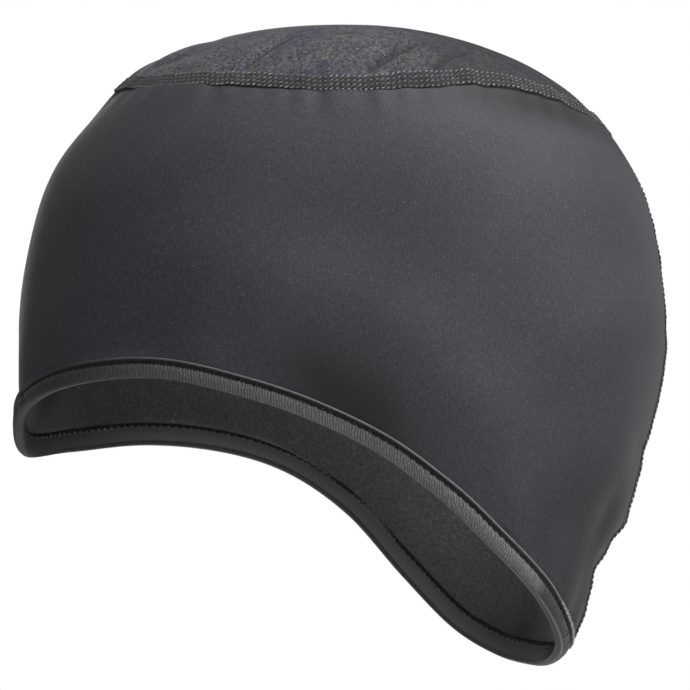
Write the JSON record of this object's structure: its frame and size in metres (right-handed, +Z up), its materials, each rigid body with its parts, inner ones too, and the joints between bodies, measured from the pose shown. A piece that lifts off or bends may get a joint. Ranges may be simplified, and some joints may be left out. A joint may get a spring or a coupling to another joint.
{
  "type": "beanie",
  "caption": "Close-fitting knit skull cap that covers the ears and nape, with an oval crown, a one-piece side panel, flat stitched seams and an elastic-bound rim.",
  "frame": {"origin": "the inside of the crown's highest point, where the cap rests on the head", "axes": "+Z up, -Y towards the forehead, +X towards the wearer's left"},
  "size_m": [0.1534, 0.1998, 0.1944],
  "materials": {
    "crown_knit": "fine speckled stretch knit, charcoal",
    "panel_knit": "smooth stretch knit, charcoal, with a brushed fleece inside",
    "seam_thread": "flat overlock stitching in dark grey thread",
    "binding_elastic": "fine-ribbed elastic tape, charcoal"
  },
  "bodies": {
    "root": {"crown": "crown_knit", "crown_seam": "seam_thread", "side_panel": "panel_knit", "back_seam": "seam_thread", "rim_binding": "binding_elastic"}
  },
  "joints": []
}
